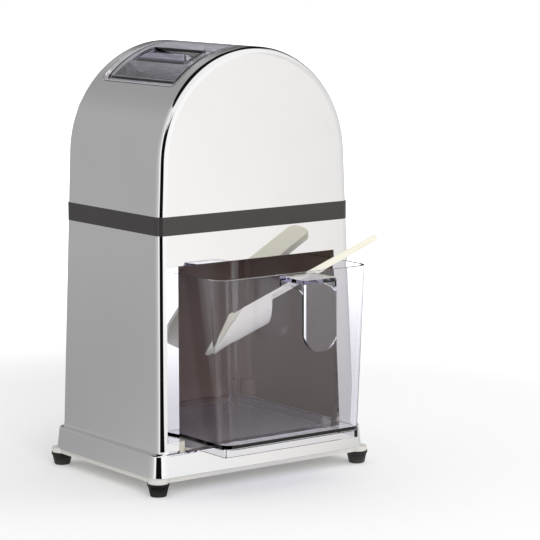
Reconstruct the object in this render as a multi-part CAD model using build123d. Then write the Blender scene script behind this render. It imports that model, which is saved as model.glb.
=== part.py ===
from build123d import *
import math
import os

# Hand crank ice crusher. Millimetres, +Z up, the drawer faces -Y.
# The pieces are modelled round the middle of the body, and moved together at the end, so that
# the origin lies on the table below the middle of the whole, from handle to crank knob.

# ---------------------------------------------------------------- overall form
body_width = 138.8        # across the top edge of the lower housing
body_depth = 104.1        # front to back at the same edge
housing_draft = 1.6       # degrees that the lower housing's walls lean in
arch_draft = 2.5          # degrees that the upper housing's sides lean in
corner_radius = 5.0       # rounded edges of both housings
least_round = 0.8         # smallest rounding that is left of an inner corner
shell_wall = 2.5          # wall of both housings

# ---------------------------------------------------------------- heights of the stack
foot_height = 7.8
plate_edge = 2.9          # the pale edge seen between plinth and feet
plinth_height = 13.45
lower_height = 128.5
band_height = 11.05
upper_height = 96.3       # band's top to the crown of the arch
shaft_rise = 31.35        # crank axis above the lower housing's top

# ---------------------------------------------------------------- general clearances
seat_gap = 0.3            # a loose part and its seat
running_gap = 0.05        # radial, a shaft in its bush
slip_gap = 0.1            # radial, a part pushed on by hand
joint_line = 0.5          # the end of a lip and what it points at
past = 1.0                # how far a cutter reaches past the face that it opens

# ---------------------------------------------------------------- band, plinth, feet
band_proud = 0.2          # band beyond the lower housing
upper_inset = 0.3         # upper housing inside the lower housing's outline
lip_height = 3.5          # lips of the band that centre both housings
lip_wall = 1.8
flare_width = 0.9         # concave foot of the lower housing
flare_height = 1.6
plinth_ledge_side = 5.2   # plinth's lower edge beyond the lower housing's foot
plinth_ledge_front = 2.85
plinth_lean = 1.5         # how far the plinth's faces lean in, per side
plinth_corner = 9.0
plinth_round = 1.2        # upper edge of the plinth
plate_inset = 0.8         # bottom plate inside the plinth's outline
foot_inset = 4.5          # foot centre from the plinth's lower edge, both ways
foot_top_radius = 6.6
foot_tip_radius = 4.9
foot_rim = 1.4            # thickness of the foot's top rim
foot_step = 0.5           # step below that rim, and the bevel round the foot's tip
foot_boss_radius = 6.2

# ---------------------------------------------------------------- screws
screw_radius = 1.5
screw_hole_radius = 1.8
thread_gap = 0.05         # screws are drawn without their thread
screw_head_radius = 3.0
screw_head_height = 1.8
pilot_spare = 2.0         # pilot hole beyond the screw's end
base_screw_bite = 9.0     # how far each kind of screw goes into its post
housing_screw_bite = 14.0
foot_screw_bite = 6.0
post_radius = 5.0         # screw posts inside the lower housing
post_height = 14.0
post_overlap = 1.0        # how far a post melts into the wall beside it
boss_radius = 4.5         # screw bosses inside the upper housing
boss_inset = 7.4          # boss centre from the inner face of the side wall
rib_wall = 2.0
lug_thickness = 3.0
lug_length = 13.0
lug_rib_height = 9.0

# ---------------------------------------------------------------- drawer and its tray
drawer_overhang = 39.4    # drawer rim ahead of the body
drawer_set_in = 14.2      # drawer rim inside the body's sides
drawer_back_gap = 9.0     # drawer rim inside the body's back
drawer_side_taper = 4.9   # how far each side leans in, from rim to floor
drawer_end_taper = 1.3
drawer_wall = 2.2
drawer_floor = 2.5
drawer_corner = 9.0       # rounded upright corners, outside
drawer_foot_height = 4.7  # plain skirt that the drawer slides on
drawer_foot_inset = 1.4
drawer_foot_wall = 2.0
drawer_opening_margin = 1.9
drawer_opening_flare = 2.6  # how far each side of the opening spreads downwards
drawer_headroom = 4.8     # from the drawer's rim to the top of its opening
lintel_height = 18.25     # lower housing above the drawer's opening
drawer_travel = 100.0
runner_rise = 0.55        # runner strips above the plinth's top
runner_width = 6.0
guide_height = 4.6        # side guides above the runner strips
guide_width = 7.7
guide_gap = 1.8           # between a side guide and the drawer's skirt
tray_floor_drop = 1.0     # tray floor below its runner strips
tray_wall = 2.0
tray_flange = 1.5         # how far the tray's flange reaches under the plinth
tray_corner = 2.0
tray_rim = 2.6            # tray window beyond the side guides
tray_end_margin = 8.5     # tray window from the plinth's lower edge, front and back
plate_post_radius = 3.0   # posts of the bottom plate under the tray
plate_rib_height = 3.0

# ---------------------------------------------------------------- drawer handle
handle_reach = 24.0       # from the drawer's front to the outside of the tongue
handle_half_width = 12.1
handle_length = 42.6      # tongue, from the shelf's top to its rounded end
handle_shelf = 2.5
handle_tongue = 2.2
handle_drop = 0.6         # shelf below the drawer's rim
handle_skirt = 6.0        # depth of the side skirts at the drawer
handle_gusset = 8.0       # depth of the side skirts at the tongue
handle_skirt_wall = 1.6
handle_corner = 3.0
handle_arch = 1.5         # rise of the side skirts' lower edge

# ---------------------------------------------------------------- lid
lid_half_angle = 47.52    # degrees from the crown to the lid's edge
lid_end_margin = 12.05    # lid's ends inside the body's front and back
lid_wall = 2.2
lid_corner = 4.0
lid_side_gap = 0.35
lid_seat_width = 3.0      # ledge under the lid's edge
lid_ledge_wall = 2.0
lid_ledge_root = 3.0      # ledge beyond the lid's edge, under the shell
lid_skirt_wall = 1.8
lid_skirt_depth = 4.0     # skirt below the lowest edge of the lid
pocket_near = 19.2        # finger pockets, measured from the crown outwards
pocket_far = 32.3
pocket_half_length = 28.0
pocket_depth = 16.0       # floor below the crown
pocket_wall = 1.6
pocket_corner = 2.5
lid_lift = 70.0

# ---------------------------------------------------------------- rotor
disc_count = 5
rotor_end_gap = 4.0       # outer fingers of the comb to the chamber's ends
disc_thickness = 4.0
disc_radius = 25.0
disc_root_radius = 17.5
tooth_count = 6
tooth_land_angle = 7.0
tooth_back_angle = 40.0
disc_turn = 12.0          # each disc is turned this much from the last
shaft_square = 10.0
front_journal_radius = 4.9
rear_journal_radius = 6.0
spacer_radius = 8.5
drive_square = 8.0
drive_length = 9.6
stud_radius = 3.0
stud_length = 6.0
clip_groove = 1.2
clip_radius = 7.0
clip_depth = 1.0
shaft_tail = 0.6          # shaft beyond its clip groove

# ---------------------------------------------------------------- bushes
bush_radius = 8.0
bush_flange_radius = 10.5
bush_flange = 1.5
bush_proud = 1.8          # rear bush beyond the housing's back face

# ---------------------------------------------------------------- comb and chamber
finger_thickness = 5.0
finger_root_rise = 12.0
finger_root_drop = 11.0
finger_tip_rise = 2.5
finger_tip_drop = 3.0
finger_tip_gap = 2.2      # finger tip to the spacers
comb_plate = 3.0
comb_plate_height = 38.0
comb_screw_rise = 13.0
comb_wall_gap = 8.0       # comb plate's face to the discs' tips
chamber_wall = 2.5
chamber_end_gap = 10.55   # chamber's inner ends inside the body's front and back
shoe_gap = 1.5            # discs to the rounded breaker wall
shoe_angle = 45.0
chamber_rise = 28.0       # chamber top above the shaft
chute_gap = 7.4           # chute's end above the drawer's rim
chute_step = 1.5          # chute wall beyond the breaker wall
chamber_boss = 2.4
chamber_boss_radius = 11.0
flange_thickness = 3.0
flange_corner = 2.0

# ---------------------------------------------------------------- hopper
hopper_lid_gap = 0.6      # hopper's rim below the lid's skirt
hopper_side_margin = 4.0  # hopper's mouth inside the lid's edge
hopper_end_margin = 9.05  # hopper's mouth inside the body's front and back
hopper_wall = 2.0
hopper_rim = 2.0
hopper_rim_reach = 3.6
hopper_collar = 4.0
hopper_corner = 3.0

# ---------------------------------------------------------------- crank
crank_length = 75.0
crank_hub_radius = 11.0
crank_hub_length = 10.2
crank_arm_thickness = 5.0
crank_arm_end_radius = 8.0
crank_edge = 1.0
nut_radius = 6.0
nut_height = 7.0
nut_step = 0.5            # dome inside the hexagon's flats
spindle_radius = 3.0
spindle_head_radius = 5.0
spindle_head = 2.0
knob_length = 32.0
knob_neck_radius = 8.5
knob_belly_radius = 12.0
knob_end_radius = 10.5
knob_waist_share = 0.35   # of the knob's length
knob_bevel = 1.5
knob_gap = 0.5            # knob to the arm and to the spindle's head
knob_recess = 3.0

# ---------------------------------------------------------------- scoop
scoop_handle_length = 82.0
scoop_handle_width = 15.0
scoop_handle_thickness = 4.0
scoop_blade_length = 42.0
scoop_blade_width = 27.0
scoop_blade_height = 15.0
scoop_blade_round = 9.0   # lower edges of the blade
scoop_blade_flat = 0.4    # share of the blade's length before its side walls slope down
scoop_wall = 1.8
scoop_overhang = 40.0     # handle beyond the point where it crosses the drawer's rim
scoop_tilt = 23.6         # degrees that the handle falls towards the blade
scoop_yaw = 11.0          # degrees that it turns away from the drawer's front
scoop_roll = 19.5         # degrees that its front edge is turned up
scoop_tip_gap = 2.0       # blade's tip, at its middle, to the drawer's left wall

# ---------------------------------------------------------------- levels worked out
plate_bottom = foot_height
plinth_bottom = plate_bottom + plate_edge
plinth_top = plinth_bottom + plinth_height
lower_top = plinth_top + lower_height
band_top = lower_top + band_height
total_height = band_top + upper_height
shaft_height = lower_top + shaft_rise
runner_top = plinth_top + runner_rise
drawer_foot_bottom = runner_top + seat_gap
drawer_bottom = drawer_foot_bottom + drawer_foot_height
opening_top = lower_top - lintel_height
drawer_rim = opening_top - drawer_headroom
drawer_height = drawer_rim - drawer_bottom
lug_top = lower_top - lip_height - joint_line
flange_top = lug_top + flange_thickness
chute_bottom = drawer_rim + chute_gap
chamber_top = shaft_height + chamber_rise

# ---------------------------------------------------------------- outlines worked out
draft_slope = math.tan(math.radians(housing_draft))
arch_lean = math.radians(arch_draft)
upper_half_width = body_width / 2 - upper_inset
upper_half_depth = body_depth / 2 - upper_inset
arch_radius = (upper_half_width * math.cos(arch_lean)
               - (total_height - band_top) * math.sin(arch_lean)) / (1 - math.sin(arch_lean))
arch_centre = total_height - arch_radius
lid_half_width = arch_radius * math.sin(math.radians(lid_half_angle))
lid_half_depth = body_depth / 2 - lid_end_margin
lid_edge_level = arch_centre + math.sqrt((arch_radius - shell_wall) ** 2 - lid_half_width ** 2)
lid_skirt_low = lid_edge_level - lid_skirt_depth
hopper_top = lid_skirt_low - hopper_lid_gap
pilot_radius = screw_radius + thread_gap
lip_half_width = body_width / 2 - upper_inset - shell_wall - seat_gap
lip_half_depth = body_depth / 2 - upper_inset - shell_wall - seat_gap
drawer_rim_width = body_width - 2 * drawer_set_in
drawer_rim_depth = drawer_overhang + body_depth - drawer_back_gap
drawer_floor_width = drawer_rim_width - 2 * drawer_side_taper
drawer_floor_depth = drawer_rim_depth - 2 * drawer_end_taper
drawer_front = -(body_depth / 2 + drawer_overhang)
chamber_half_length = body_depth / 2 - chamber_end_gap
disc_pitch = 2 * (chamber_half_length - rotor_end_gap) / disc_count
hopper_mouth_half_width = lid_half_width - hopper_side_margin
hopper_mouth_half_depth = body_depth / 2 - hopper_end_margin
lower_foot_reach = (lower_top - plinth_top) * draft_slope
plinth_width = body_width + 2 * (lower_foot_reach + plinth_ledge_side)
plinth_depth = body_depth + 2 * (lower_foot_reach + plinth_ledge_front)
guide_near = drawer_floor_width / 2 - drawer_foot_inset + guide_gap
window_half_width = guide_near + guide_width + tray_rim
window_half_depth = plinth_depth / 2 - tray_end_margin
tray_bottom = plinth_top - shell_wall - tray_wall
drawer_rim_middle = drawer_front + drawer_rim_depth / 2
foot_x = plinth_width / 2 - foot_inset
foot_y = plinth_depth / 2 - foot_inset
foot_places = [(sx * foot_x, sy * foot_y) for sx in (-1, 1) for sy in (-1, 1)]
boss_x = body_width / 2 - shell_wall - boss_inset - upper_inset
boss_y = body_depth / 2 - shell_wall - boss_inset - upper_inset
boss_places = [(sx * boss_x, sy * boss_y) for sx in (-1, 1) for sy in (-1, 1)]


def lower_half_width(level):
    """Half the lower housing's width at a height."""
    return body_width / 2 + (lower_top - level) * draft_slope


def lower_half_depth(level):
    """Half the lower housing's depth at a height."""
    return body_depth / 2 + (lower_top - level) * draft_slope


post_x = lower_half_width(plinth_top) - shell_wall - post_radius + post_overlap
post_y = lower_half_depth(plinth_top) - shell_wall - post_radius + post_overlap
post_places = [(sx * post_x, sy * post_y) for sx in (-1, 1) for sy in (-1, 1)]


# ================================================================ helpers
def outline(half_width, half_depth, radius, level, middle=0.0):
    """Rounded rectangle at a height, centred on X = 0 and Y = middle."""
    return Pos(0, middle, level) * RectangleRounded(2 * half_width, 2 * half_depth, radius)


def block(half_width, half_depth, radius, low, high, middle=0.0):
    """Upright block with rounded corners."""
    return extrude(outline(half_width, half_depth, radius, low, middle), amount=high - low)


def box(x_low, x_high, y_low, y_high, z_low, z_high):
    """Plain box between two corners."""
    size = (x_high - x_low, y_high - y_low, z_high - z_low)
    centre = ((x_low + x_high) / 2, (y_low + y_high) / 2, (z_low + z_high) / 2)
    return Pos(*centre) * Box(*size)


def leaning_block(low_half, high_half, low, high, radius, middle=0.0):
    """Upright block whose four sides lean; half sizes (X, Y) below and above, round corners."""
    prisms = []
    for index, plane in enumerate((Plane.XZ, Plane.YZ)):
        foot = low_half[index]
        head = high_half[index]
        corners = [(-foot, low), (foot, low), (head, high), (-head, high)]
        face = plane * make_face(Polyline(corners, close=True))
        prisms.append(extrude(face, amount=max(low_half + high_half), both=True))
    solid = Pos(0, middle, 0) * (prisms[0] & prisms[1])
    return fillet(solid.edges().group_by(Axis.Z)[1], radius=radius)


def pillar(x, y, radius, low, high):
    """Upright cylinder."""
    return Pos(x, y, (low + high) / 2) * Cylinder(radius, high - low)


def rod(x, z, radius, start, end):
    """Cylinder lying along Y, from start to end."""
    return Pos(x, (start + end) / 2, z) * Rot(90, 0, 0) * Cylinder(radius, end - start)


def square_bar(z, across, start, end):
    """Square bar lying along Y on the crank axis."""
    return box(-across / 2, across / 2, start, end, z - across / 2, z + across / 2)


def pan_screw(length):
    """Pan head screw that points up, its head's bearing face at Z = 0."""
    shank = pillar(0, 0, screw_radius, 0, length)
    return shank + pillar(0, 0, screw_head_radius, -screw_head_height, 0)


def as_one(pieces):
    """Several separate solids kept together in one node."""
    return Compound([piece.solid() for piece in pieces])


# ================================================================ lower housing
def lower_solid(inset, low, high):
    """Tapered block inside the lower housing's outline by inset."""
    radius = max(corner_radius - inset, least_round)
    sections = []
    for level in (low, high):
        half_width = lower_half_width(level) - inset
        half_depth = lower_half_depth(level) - inset
        sections.append(outline(half_width, half_depth, radius, level))
    return loft(sections, ruled=True)


def flare():
    """Concave foot of the lower housing, in two short slopes."""
    steps = [(0.0, flare_width), (0.3 * flare_height, 0.4 * flare_width), (flare_height, 0.0)]
    sections = []
    for rise, reach in steps:
        level = plinth_top + rise
        half_width = lower_half_width(level) + reach
        half_depth = lower_half_depth(level) + reach
        sections.append(outline(half_width, half_depth, corner_radius + reach, level))
    return loft(sections, ruled=True)


def drawer_half_width(level):
    """Half the drawer's outer width at a height."""
    share = (level - drawer_bottom) / drawer_height
    return (drawer_floor_width + share * (drawer_rim_width - drawer_floor_width)) / 2


def drawer_opening():
    """Cutter for the drawer's opening in the front wall; it narrows upwards with the wall."""
    top = drawer_half_width(drawer_rim) + drawer_opening_margin
    bottom = top + drawer_opening_flare
    corners = [(-bottom, plinth_top - past), (bottom, plinth_top - past), (top, opening_top),
               (-top, opening_top)]
    face = Plane.XZ * make_face(Polyline(corners, close=True))
    return Pos(0, -lower_half_depth(plinth_top) / 2, 0) * extrude(
        face, amount=lower_half_depth(plinth_top) / 2 + flare_width + past)


def corner_lug(sx, sy):
    """Lug for one long housing screw, with a rib below it."""
    low = lug_top - lug_thickness
    x_far = lower_half_width(low)
    y_far = lower_half_depth(low)
    x_near = boss_x - lug_length / 2
    y_near = boss_y - lug_length / 2
    lug = box(x_near, x_far, y_near, y_far, low, lug_top)
    rib_start = boss_x + screw_head_radius + seat_gap
    corners = [(rib_start, low), (x_far, low), (x_far, low - lug_rib_height)]
    rib = Plane.XZ * make_face(Polyline(corners, close=True))
    rib = Pos(0, boss_y + rib_wall / 2, 0) * extrude(rib, amount=rib_wall)
    piece = lug + rib
    if sx < 0:
        piece = mirror(piece, about=Plane.YZ)
    if sy < 0:
        piece = mirror(piece, about=Plane.XZ)
    return piece


def lower_housing():
    """Chrome shell that carries the drawer's opening."""
    outside = lower_solid(0.0, plinth_top, lower_top)
    inside = lower_solid(shell_wall, plinth_top - past, lower_top + past)
    shell = outside + flare()
    trim = lower_solid(shell_wall / 2, plinth_top, lower_top)
    additions = [corner_lug(sx, sy) & trim for sx in (-1, 1) for sy in (-1, 1)]
    for x, y in post_places:
        additions.append(pillar(x, y, post_radius, plinth_top, plinth_top + post_height) & trim)
    shell = shell - inside
    for piece in additions:
        shell = shell + piece
    shell = shell - drawer_opening()
    for x, y in boss_places:
        shell = shell - pillar(x, y, screw_hole_radius, lug_top - 2 * lug_thickness,
                               lug_top + past)
    for x, y in post_places:
        shell = shell - pillar(x, y, pilot_radius, plinth_top - past,
                               plinth_top + base_screw_bite + pilot_spare)
    return shell


# ================================================================ band between the housings
def seam_band():
    """Satin ring between both housings, with a lip up and a lip down inside them."""
    half_width = body_width / 2 + band_proud
    half_depth = body_depth / 2 + band_proud
    ring = block(half_width, half_depth, corner_radius + band_proud, lower_top, band_top)
    rims = ring.edges().group_by(Axis.Z)[0] + ring.edges().group_by(Axis.Z)[-1]
    ring = chamfer(rims, length=band_proud)
    lip_corner = corner_radius - shell_wall
    lip = block(lip_half_width, lip_half_depth, lip_corner, lower_top - lip_height,
                band_top + lip_height)
    bore = block(lip_half_width - lip_wall, lip_half_depth - lip_wall, lip_corner / 2,
                 lower_top - lip_height - past, band_top + lip_height + past)
    return ring + lip - bore


# ================================================================ upper housing
def arch_solid(inset, half_depth, base_level, edge_radius=0.0):
    """Round-topped block inside the upper housing's outline by inset."""
    radius = arch_radius - inset
    foot = (upper_half_width - inset / math.cos(arch_lean)
            + (band_top - base_level) * math.tan(arch_lean))
    side = radius * math.cos(arch_lean)
    shoulder = arch_centre + radius * math.sin(arch_lean)
    crown = arch_centre + radius
    edges = [Line((-foot, base_level), (-side, shoulder)),
             ThreePointArc((-side, shoulder), (0, crown), (side, shoulder)),
             Line((side, shoulder), (foot, base_level)),
             Line((foot, base_level), (-foot, base_level))]
    solid = extrude(Plane.XZ * make_face(edges), amount=half_depth, both=True)
    if edge_radius > 0:
        rims = [edge for edge in solid.edges()
                if abs(abs(edge.center().Y) - half_depth) < 0.01
                and edge.center().Z > base_level + past]
        solid = fillet(rims, radius=edge_radius)
    return solid


def lid_plan(grow, radius, low, high):
    """Upright block over the lid's outline, grown or shrunk."""
    return block(lid_half_width + grow, lid_half_depth + grow, radius, low, high)


def upper_housing():
    """Chrome arch with the lid's opening, its ledge, the shaft hole and four screw bosses."""
    outside = arch_solid(0.0, upper_half_depth, band_top, corner_radius)
    inside = arch_solid(shell_wall, upper_half_depth - shell_wall, band_top - past)
    high = total_height + past
    low = arch_centre + arch_radius / 4
    ledge_ring = (lid_plan(lid_ledge_root, lid_corner, low, high)
                  - lid_plan(-lid_seat_width, lid_corner / 2, low, high))
    under_ledge = arch_solid(shell_wall + lid_ledge_wall, upper_half_depth, arch_centre)
    inside = inside - (ledge_ring - under_ledge)
    rebate = (lid_plan(lid_side_gap, lid_corner + lid_side_gap, low, high)
              - arch_solid(shell_wall, upper_half_depth, arch_centre))
    shell = outside - inside - rebate
    shell = shell - lid_plan(-lid_seat_width, lid_corner / 2, low, high)
    trim = arch_solid(shell_wall / 2, upper_half_depth - shell_wall / 2, flange_top)
    rib_bottom = band_top + lip_height + joint_line
    for x, y in boss_places:
        boss = pillar(x, y, boss_radius, flange_top, total_height)
        side_rib = box(min(x, 2 * x), max(x, 2 * x), y - rib_wall / 2, y + rib_wall / 2,
                       rib_bottom, total_height)
        end_rib = box(x - rib_wall / 2, x + rib_wall / 2, min(y, 2 * y), max(y, 2 * y),
                      rib_bottom, total_height)
        shell = shell + ((boss + side_rib + end_rib) & trim)
        shell = shell - pillar(x, y, pilot_radius, flange_top - past,
                               flange_top + housing_screw_bite + pilot_spare)
    hole = rod(0, shaft_height, bush_radius + seat_gap, upper_half_depth - 2 * shell_wall,
               upper_half_depth + past)
    return shell - hole


# ================================================================ plinth, plate and feet
def plinth_outline(inset, level):
    """Plinth outline at a height, inside its face by inset."""
    share = (level - plinth_bottom) / plinth_height
    lean = plinth_lean * share + inset
    radius = max(plinth_corner - lean, least_round)
    return outline(plinth_width / 2 - lean, plinth_depth / 2 - lean, radius, level)


def base_plinth():
    """Chrome plinth: a shallow tray upside down, with a window for the drawer's tray."""
    outside = loft([plinth_outline(0, plinth_bottom), plinth_outline(0, plinth_top)], ruled=True)
    outside = fillet(outside.edges().group_by(Axis.Z)[-1], radius=plinth_round)
    ceiling = plinth_top - shell_wall
    inside = loft([plinth_outline(shell_wall, plinth_bottom - past),
                   plinth_outline(shell_wall, ceiling)], ruled=True)
    plinth = outside - inside
    trim = loft([plinth_outline(shell_wall / 4, plinth_bottom),
                 plinth_outline(shell_wall / 4, plinth_top - shell_wall / 2)], ruled=True)
    for x, y in foot_places:
        plinth = plinth + (pillar(x, y, post_radius, plinth_bottom, plinth_top) & trim)
        plinth = plinth - pillar(x, y, pilot_radius, plinth_bottom - past,
                                 plinth_bottom + foot_screw_bite + pilot_spare)
    plinth = plinth - block(window_half_width, window_half_depth, tray_corner,
                            ceiling - past, plinth_top + past)
    for x, y in post_places:
        plinth = plinth - pillar(x, y, screw_hole_radius, ceiling - past, plinth_top + past)
    return plinth


def bottom_plate():
    """Pale plate that closes the plinth from below, with the posts that hold the tray up."""
    half_width = plinth_width / 2 - plate_inset
    half_depth = plinth_depth / 2 - plate_inset
    plate = block(half_width, half_depth, plinth_corner - plate_inset, plate_bottom,
                  plinth_bottom)
    for x, y in foot_places:
        plate = plate + pillar(x, y, foot_boss_radius, plate_bottom, plinth_bottom)
    rib_half_width = plinth_width / 2 - shell_wall - plinth_lean / 2 - seat_gap
    rib_half_depth = foot_y - post_radius - seat_gap
    rib_top = plinth_bottom + plate_rib_height
    ring = block(rib_half_width, rib_half_depth, lip_wall / 2, plinth_bottom, rib_top)
    ring = ring - block(rib_half_width - lip_wall, rib_half_depth - lip_wall, lip_wall / 2,
                        plinth_bottom, rib_top + past)
    plate = plate + ring
    for sx in (-1, 1):
        for sy in (-1, 1):
            plate = plate + pillar(sx * window_half_width, sy * window_half_depth / 2,
                                   plate_post_radius, plinth_bottom, tray_bottom)
    for x, y in foot_places:
        plate = plate - pillar(x, y, screw_hole_radius, plate_bottom - past,
                               plinth_bottom + past)
    return plate


def rubber_foot(x, y):
    """Tapered rubber foot with a rim on top and a hollow for its screw."""
    hollow = screw_head_radius + seat_gap
    points = [(screw_hole_radius, foot_height), (foot_top_radius, foot_height),
              (foot_top_radius, foot_height - foot_rim),
              (foot_top_radius - foot_step, foot_height - foot_rim - foot_step),
              (foot_tip_radius, foot_step), (foot_tip_radius - foot_step, 0),
              (hollow, 0), (hollow, foot_height / 2), (screw_hole_radius, foot_height / 2)]
    profile = Plane.XZ * make_face(Polyline(points, close=True))
    return Pos(x, y, 0) * revolve(profile, axis=Axis.Z)


def foot_screws():
    """One screw up through each foot into the plinth."""
    length = foot_height / 2 + plate_edge + foot_screw_bite
    return as_one([Pos(x, y, foot_height / 2) * pan_screw(length) for x, y in foot_places])


def base_screws():
    """Screws from the plinth up into the lower housing's posts."""
    level = plinth_top - shell_wall
    return as_one([Pos(x, y, level) * pan_screw(shell_wall + base_screw_bite)
                   for x, y in post_places])


def housing_screws():
    """Long screws that clamp lower housing, chamber flange and upper housing."""
    level = lug_top - lug_thickness
    length = lug_thickness + flange_thickness + housing_screw_bite
    return as_one([Pos(x, y, level) * pan_screw(length)
                   for x, y in boss_places])


def drawer_tray():
    """Pale tray in the plinth's window: runner strips and side guides for the drawer."""
    ceiling = plinth_top - shell_wall
    half_width = window_half_width - seat_gap
    half_depth = window_half_depth - seat_gap
    floor_top = runner_top - tray_floor_drop
    flange = block(window_half_width + tray_flange, window_half_depth + tray_flange,
                   tray_corner, tray_bottom, ceiling)
    for x, y in post_places:
        flange = flange - pillar(x, y, screw_head_radius + seat_gap, tray_bottom - past,
                                 ceiling + past)
    raised = block(half_width, half_depth, tray_corner, tray_bottom, floor_top)
    tray = flange + raised
    foot_half = drawer_floor_width / 2 - drawer_foot_inset
    for side in (-1, 1):
        runner_x = side * (foot_half - drawer_foot_wall / 2)
        tray = tray + box(runner_x - runner_width / 2, runner_x + runner_width / 2,
                          -half_depth, half_depth, ceiling, runner_top)
        guide = block(guide_width / 2, half_depth, tray_corner, ceiling,
                      runner_top + guide_height)
        tray = tray + Pos(side * (guide_near + guide_width / 2), 0, 0) * guide
    hollow = block(half_width - tray_wall - guide_width, half_depth - tray_wall,
                   tray_corner / 2, tray_bottom - past, floor_top - tray_wall)
    return tray - hollow


# ================================================================ drawer
def drawer_half_sizes(inset, level):
    """Half the drawer's width and depth at a height, inside its faces by inset."""
    share = (level - drawer_bottom) / drawer_height
    depth = drawer_floor_depth + share * (drawer_rim_depth - drawer_floor_depth)
    return drawer_half_width(level) - inset, depth / 2 - inset


def drawer_body(inset, low, high):
    """Tapered block inside the drawer's faces by inset."""
    return leaning_block(drawer_half_sizes(inset, low), drawer_half_sizes(inset, high), low, high,
                         drawer_corner - inset, drawer_rim_middle)


def drawer_handle():
    """Shelf, side skirts and the hanging tongue that the fingers pull on."""
    top = drawer_rim - handle_drop
    root = drawer_front + drawer_wall / 2
    outer = drawer_front - handle_reach
    inner = outer + handle_tongue
    half = handle_half_width
    shelf = box(-half, half, outer, root, top - handle_shelf, top)
    rounded = shelf.edges().filter_by(Axis.Z).sort_by(Axis.Y)[:2]
    shelf = fillet(rounded, radius=handle_corner)
    end = top - handle_length
    tongue_edges = [Line((-half, top - handle_shelf / 2), (half, top - handle_shelf / 2)),
                    Line((half, top - handle_shelf / 2), (half, end + half)),
                    ThreePointArc((half, end + half), (0, end), (-half, end + half)),
                    Line((-half, end + half), (-half, top - handle_shelf / 2))]
    tongue = Pos(0, inner, 0) * extrude(Plane.XZ * make_face(tongue_edges), amount=handle_tongue)
    tongue = tongue & (shelf_column(outer, root, half, end, top))
    handle = shelf + tongue
    skirt = [(root, top - handle_shelf / 2), (root, top - handle_skirt),
             ((root + inner) / 2, top - handle_skirt + handle_arch),
             (inner + handle_corner, top - handle_skirt), (inner, top - handle_gusset),
             (inner, top - handle_shelf / 2)]
    for side in (-1, 1):
        face = Plane.YZ * make_face(Polyline(skirt, close=True))
        start = side * half if side < 0 else half - handle_skirt_wall
        handle = handle + Pos(start, 0, 0) * extrude(face, amount=handle_skirt_wall)
    return handle


def shelf_column(outer, root, half, low, high):
    """Tall block with the shelf's rounded front corners, which trims the tongue."""
    column = box(-half, half, outer, root, low - past, high)
    rounded = column.edges().filter_by(Axis.Z).sort_by(Axis.Y)[:2]
    return fillet(rounded, radius=handle_tongue * 0.9)


def drawer():
    """Clear drawer in one moulding: tapered box, skirt to slide on, handle."""
    outside = drawer_body(0.0, drawer_bottom, drawer_rim)
    inside = drawer_body(drawer_wall, drawer_bottom + drawer_floor, drawer_rim + past)
    half_width = drawer_floor_width / 2 - drawer_foot_inset
    half_depth = drawer_floor_depth / 2 - 2 * drawer_foot_inset
    corner = drawer_foot_wall / 2
    skirt = block(half_width, half_depth, corner, drawer_foot_bottom,
                  drawer_bottom + drawer_floor / 2, drawer_rim_middle)
    skirt = skirt - block(half_width - drawer_foot_wall, half_depth - drawer_foot_wall,
                          corner / 2, drawer_foot_bottom - past, drawer_bottom,
                          drawer_rim_middle)
    return outside + skirt + drawer_handle() - inside


# ================================================================ lid
def lid_pocket(side, grow):
    """One finger pocket as a block that is open to the sky; grow gives its outer wall."""
    low = total_height - pocket_depth - grow
    near = pocket_near - grow
    far = pocket_far + grow
    length = pocket_half_length + grow
    cutter = block((far - near) / 2, length, pocket_corner + grow / 2, low,
                   total_height + past)
    return Pos(side * (near + far) / 2, 0, 0) * cutter


def lid():
    """Clear lift-off lid: a piece of the arch with two finger pockets and a locating skirt."""
    arch = arch_solid(0.0, upper_half_depth, arch_centre)
    under = arch_solid(lid_wall, upper_half_depth, arch_centre)
    low = arch_centre + arch_radius / 4
    high = total_height + past
    lid_shape = (arch - under) & lid_plan(0, lid_corner, low, high)
    skirt_grow = -lid_seat_width - lid_side_gap
    skirt = (lid_plan(skirt_grow, lid_corner / 2, lid_skirt_low, high)
             - lid_plan(skirt_grow - lid_skirt_wall, lid_corner / 4, lid_skirt_low - past,
                        high + past))
    inner_arch = arch_solid(lid_wall / 2, upper_half_depth, arch_centre)
    lid_shape = lid_shape + (skirt & inner_arch)
    for side in (-1, 1):
        lid_shape = lid_shape + (lid_pocket(side, pocket_wall) & inner_arch)
    for side in (-1, 1):
        lid_shape = lid_shape - lid_pocket(side, 0)
    return lid_shape


# ================================================================ crushing chamber
def chamber_outline(grow):
    """Cross-section of the chamber: a flat comb wall, a round breaker wall and a chute."""
    shoe = disc_radius + shoe_gap + grow
    left = -(disc_radius + comb_wall_gap + comb_plate + grow)
    angle = math.radians(shoe_angle)
    arc_x = shoe * math.cos(angle)
    arc_z = shoe * math.sin(angle)
    chute_x = disc_radius + shoe_gap + chute_step + grow
    chute_z = shaft_height - disc_radius - shoe_gap
    points = [(arc_x, shaft_height - arc_z), (chute_x, chute_z), (chute_x, chute_bottom),
              (left, chute_bottom), (left, chamber_top), (arc_x, chamber_top),
              (arc_x, shaft_height + arc_z)]
    edges = [Line(a, b) for a, b in zip(points[:-1], points[1:])]
    edges.append(ThreePointArc(points[-1], (shoe, shaft_height), points[0]))
    return Plane.XZ * make_face(edges)


def throat_x():
    """Left and right inner faces of the chamber's top."""
    left = -(disc_radius + comb_wall_gap + comb_plate)
    right = (disc_radius + shoe_gap) * math.cos(math.radians(shoe_angle))
    return left, right


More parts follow.
